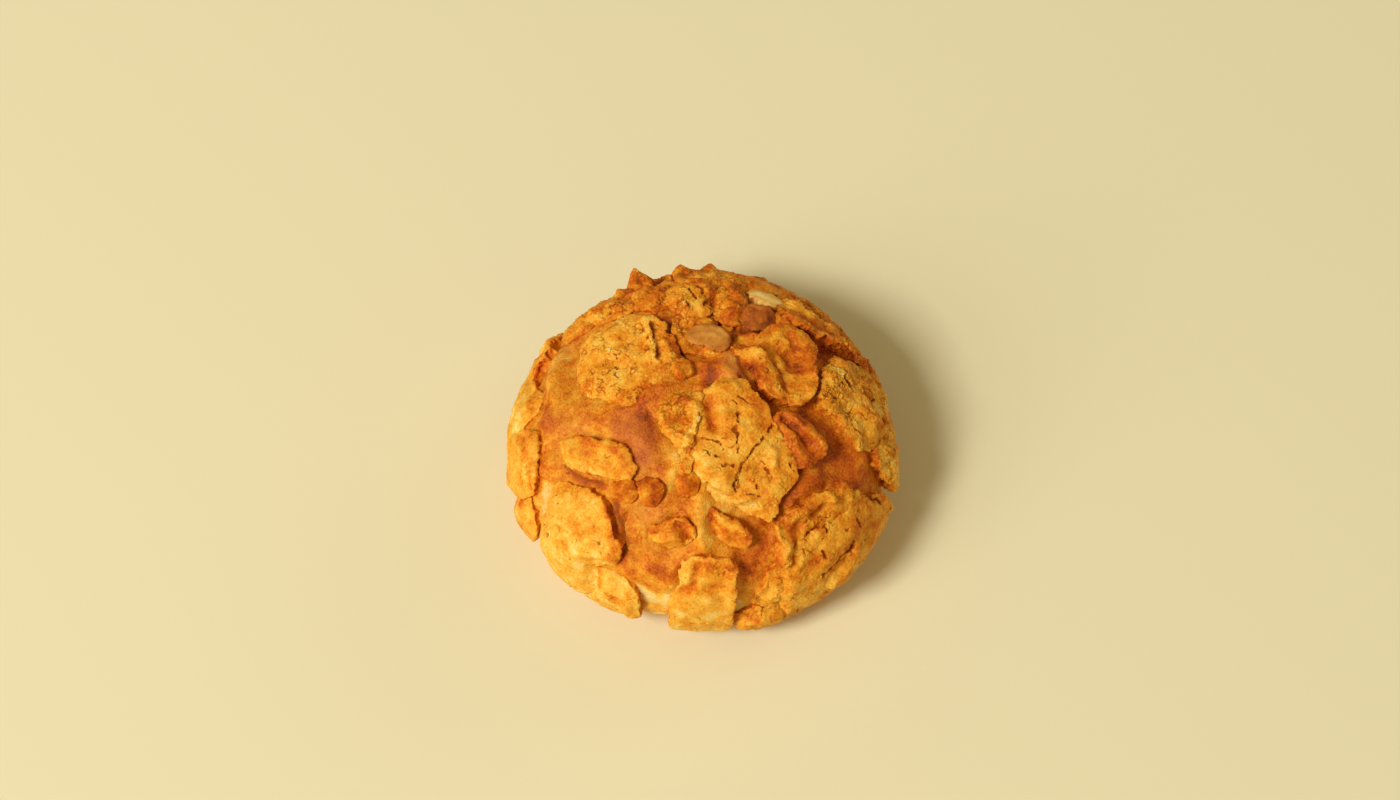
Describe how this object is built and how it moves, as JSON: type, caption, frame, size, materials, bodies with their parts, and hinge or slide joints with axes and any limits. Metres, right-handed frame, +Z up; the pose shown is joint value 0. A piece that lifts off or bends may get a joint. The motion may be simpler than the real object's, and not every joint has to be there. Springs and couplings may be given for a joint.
{
  "type": "streusel bun",
  "caption": "Round sweet bread bun with a domed brown skin under a cracked crust of crumb topping plates, lumps and chopped nuts.",
  "frame": {"origin": "on the table under the middle of the bun", "axes": "+Z up through the crown, -Y towards the front, +X to the right"},
  "size_m": [0.106, 0.1062, 0.0535],
  "materials": {
    "brown_skin": "baked crust, soft sheen, browner at the crown and pale at the waist",
    "golden_crumb": "dry granular crumb crust, matt, golden",
    "brown_crumb": "dry granular crumb crust, matt, golden brown",
    "almond_skin": "toasted almond, smooth, low sheen",
    "cut_nut": "pale cut face of a nut, matt",
    "toasted_nut": "dark toasted nut, low sheen"
  },
  "bodies": {
    "root": {"almond": "almond_skin", "almond_bed": "brown_crumb", "back_chip_1": "golden_crumb", "back_chip_2": "golden_crumb", "back_chip_3": "golden_crumb", "back_chip_4": "golden_crumb", "back_chip_5": "golden_crumb", "back_chip_6": "golden_crumb", "back_plate": "golden_crumb", "back_right_ridge": "golden_crumb", "back_shard_1": "golden_crumb", "back_shard_2": "golden_crumb", "back_shard_3": "golden_crumb", "back_shard_4": "golden_crumb", "back_shard_5": "golden_crumb", "back_shard_6": "golden_crumb", "back_shard_7": "golden_crumb", "back_spike": "golden_crumb", "bun": "brown_skin", "crown_crumbs": "brown_crumb", "crown_fold": "brown_crumb", "crown_plate": "brown_crumb", "curled_crumb": "brown_crumb", "dark_nugget": "toasted_nut", "fold_flake": "brown_crumb", "front_apron": "golden_crumb", "front_flake": "golden_crumb", "front_nub": "brown_crumb", "front_nugget": "brown_crumb", "front_wedge": "golden_crumb", "heel_chip": "golden_crumb", "heel_crumb": "golden_crumb", "left_band": "golden_crumb", "left_edge": "golden_crumb", "left_heel": "golden_crumb", "left_nugget": "golden_crumb", "left_oval": "golden_crumb", "lower_chip": "golden_crumb", "lower_plate": "golden_crumb", "lower_strip": "golden_crumb", "neck_crumb": "golden_crumb", "orange_crumb": "brown_crumb", "pale_nut": "cut_nut", "right_crust": "golden_crumb", "right_heel": "golden_crumb", "right_plate": "golden_crumb", "right_rim": "golden_crumb", "saddle_cup": "brown_crumb", "saddle_slope": "brown_crumb", "shoulder_lobe": "brown_crumb", "shoulder_plate": "brown_crumb", "shoulder_ridge": "golden_crumb", "side_crumb": "golden_crumb"}
  },
  "joints": []
}
